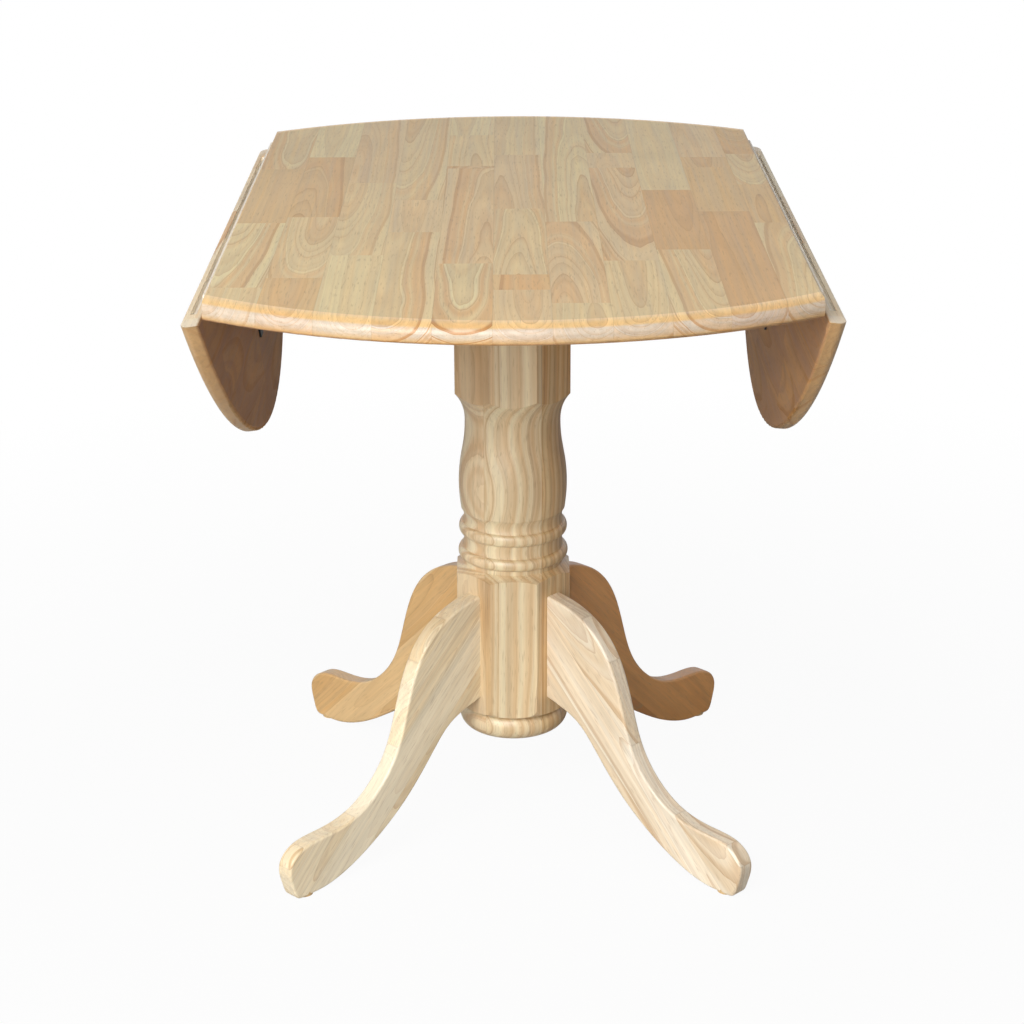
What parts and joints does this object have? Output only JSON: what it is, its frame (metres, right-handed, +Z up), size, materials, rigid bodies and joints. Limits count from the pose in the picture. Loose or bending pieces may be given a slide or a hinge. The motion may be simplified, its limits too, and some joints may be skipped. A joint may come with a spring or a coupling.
{
  "type": "drop-leaf pedestal dining table",
  "caption": "Round drop-leaf dining table in clear-finished wood, both leaves hanging, on a turned octagonal column with S-shaped legs.",
  "frame": {"origin": "on the floor under the middle of the top", "axes": "+Z up; +Y towards the rear along the seams; the left leaf hangs at -X, the right leaf at +X"},
  "size_m": [0.663, 1.0666, 0.762],
  "materials": {
    "top_wood": "satin clear lacquer",
    "column_wood": "satin clear lacquer",
    "leg_wood": "satin clear lacquer",
    "black_steel": "black enamel",
    "plated_steel": "zinc plate",
    "nylon": "matte"
  },
  "bodies": {
    "pedestal": {"column": "column_wood", "front_left_leg": "leg_wood", "front_right_leg": "leg_wood", "rear_right_leg": "leg_wood", "rear_left_leg": "leg_wood", "leg_hanger_bolts": "plated_steel", "leg_washers": "plated_steel", "leg_nuts": "plated_steel", "foot_glides": "nylon", "mounting_plate": "plated_steel", "plate_column_screws": "plated_steel", "plate_top_bolts": "plated_steel", "top_inserts": "plated_steel", "top_panel": "top_wood", "hinge_pins": "plated_steel", "panel_hinge_screws": "plated_steel", "left_front_panel_hinge_plate": "plated_steel", "left_rear_panel_hinge_plate": "plated_steel", "left_stay_panel_bracket": "black_steel", "left_stay_panel_rivet": "black_steel", "left_panel_stay_screws": "plated_steel", "right_front_panel_hinge_plate": "plated_steel", "right_rear_panel_hinge_plate": "plated_steel", "right_stay_panel_bracket": "black_steel", "right_stay_panel_rivet": "black_steel", "right_panel_stay_screws": "plated_steel"},
    "left_drop_leaf": {"left_leaf": "top_wood", "left_leaf_hinge_screws": "plated_steel", "left_front_leaf_hinge_plate": "plated_steel", "left_rear_leaf_hinge_plate": "plated_steel", "left_stay_leaf_bracket": "black_steel", "left_stay_leaf_rivet": "black_steel", "left_leaf_stay_screws": "plated_steel"},
    "left_panel_arm": {"left_stay_panel_arm": "black_steel", "left_stay_elbow_rivet": "black_steel"},
    "left_leaf_arm": {"left_stay_leaf_arm": "black_steel"},
    "right_drop_leaf": {"right_leaf": "top_wood", "right_leaf_hinge_screws": "plated_steel", "right_front_leaf_hinge_plate": "plated_steel", "right_rear_leaf_hinge_plate": "plated_steel", "right_stay_leaf_bracket": "black_steel", "right_stay_leaf_rivet": "black_steel", "right_leaf_stay_screws": "plated_steel"},
    "right_panel_arm": {"right_stay_panel_arm": "black_steel", "right_stay_elbow_rivet": "black_steel"},
    "right_leaf_arm": {"right_stay_leaf_arm": "black_steel"}
  },
  "joints": [
    {"name": "left_leaf_hinge", "type": "hinge", "parent": "pedestal", "child": "left_drop_leaf", "pos_m": [-0.308, 0, 0.738], "axis": [0, 1, 0], "range_deg": [0, 97.6]},
    {"name": "left_panel_arm_pivot", "type": "hinge", "parent": "pedestal", "child": "left_panel_arm", "pos_m": [-0.238, 0, 0.724], "axis": [0, 1, 0], "range_deg": [0, 97.6]},
    {"name": "left_leaf_arm_pivot", "type": "hinge", "parent": "left_drop_leaf", "child": "left_leaf_arm", "pos_m": [-0.28024, 0, 0.63577], "axis": [0, -1, 0], "range_deg": [0, 97.6]},
    {"name": "right_leaf_hinge", "type": "hinge", "parent": "pedestal", "child": "right_drop_leaf", "pos_m": [0.308, 0, 0.738], "axis": [0, -1, 0], "range_deg": [0, 95.7]},
    {"name": "right_panel_arm_pivot", "type": "hinge", "parent": "pedestal", "child": "right_panel_arm", "pos_m": [0.238, 0, 0.724], "axis": [0, -1, 0], "range_deg": [0, 95.7]},
    {"name": "right_leaf_arm_pivot", "type": "hinge", "parent": "right_drop_leaf", "child": "right_leaf_arm", "pos_m": [0.28364, 0, 0.63491], "axis": [0, 1, 0], "range_deg": [0, 95.7]}
  ],
  "couplings": [
    {"joint": "left_panel_arm_pivot", "follows": "left_leaf_hinge", "ratio": 1},
    {"joint": "left_leaf_arm_pivot", "follows": "left_leaf_hinge", "ratio": 1},
    {"joint": "right_panel_arm_pivot", "follows": "right_leaf_hinge", "ratio": 1},
    {"joint": "right_leaf_arm_pivot", "follows": "right_leaf_hinge", "ratio": 1}
  ]
}
